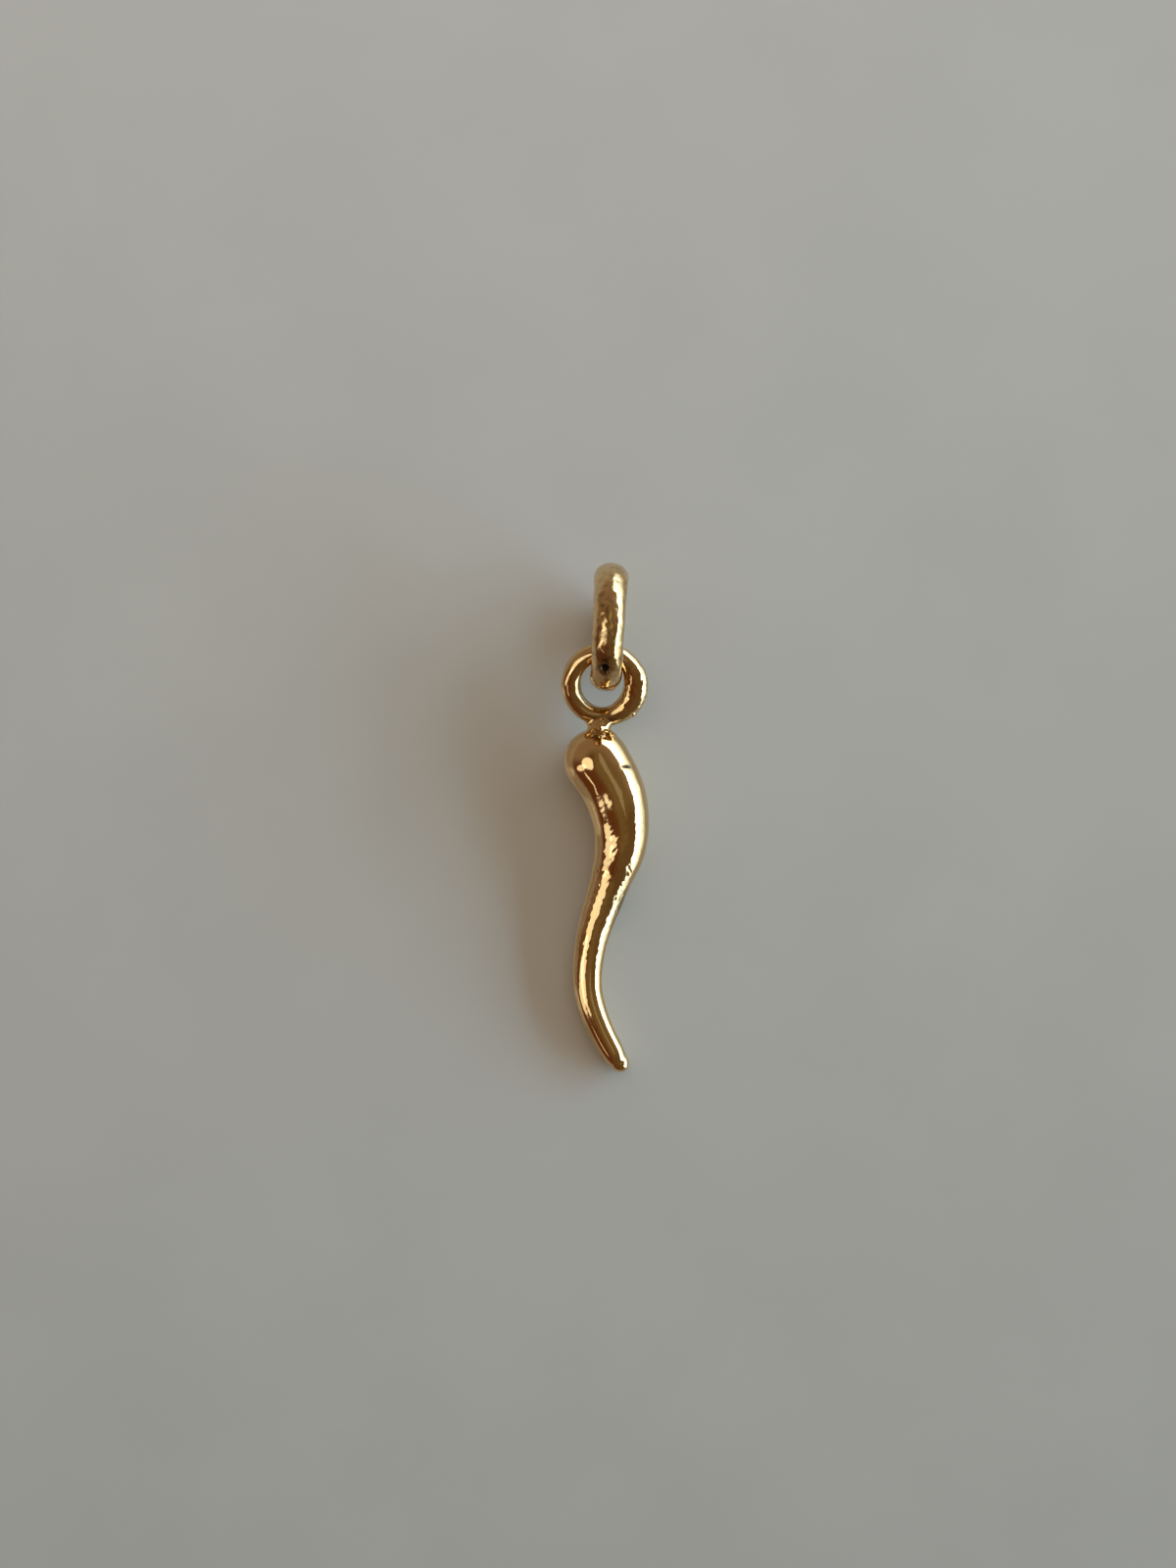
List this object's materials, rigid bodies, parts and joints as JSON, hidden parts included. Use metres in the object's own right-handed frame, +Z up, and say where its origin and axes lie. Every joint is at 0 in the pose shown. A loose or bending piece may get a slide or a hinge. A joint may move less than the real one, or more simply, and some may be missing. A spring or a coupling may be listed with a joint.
{
  "type": "cornicello horn pendant",
  "caption": "Small S-shaped horn charm in polished yellow gold, lying flat, with a soldered eye on its head and a thick round bail ring through it for a chain.",
  "frame": {"origin": "middle of the charm's box, on the surface that it lies on", "axes": "+X to the right as it lies, +Y along the charm from the horn's tip to the bail ring, +Z up from the surface"},
  "size_m": [0.0044, 0.0248, 0.0062],
  "materials": {
    "horn_gold": "polished yellow gold",
    "bail_gold": "polished yellow gold, lightly pitted from casting"
  },
  "bodies": {
    "root": {"horn_with_eye": "horn_gold", "bail_ring": "bail_gold"}
  },
  "joints": []
}
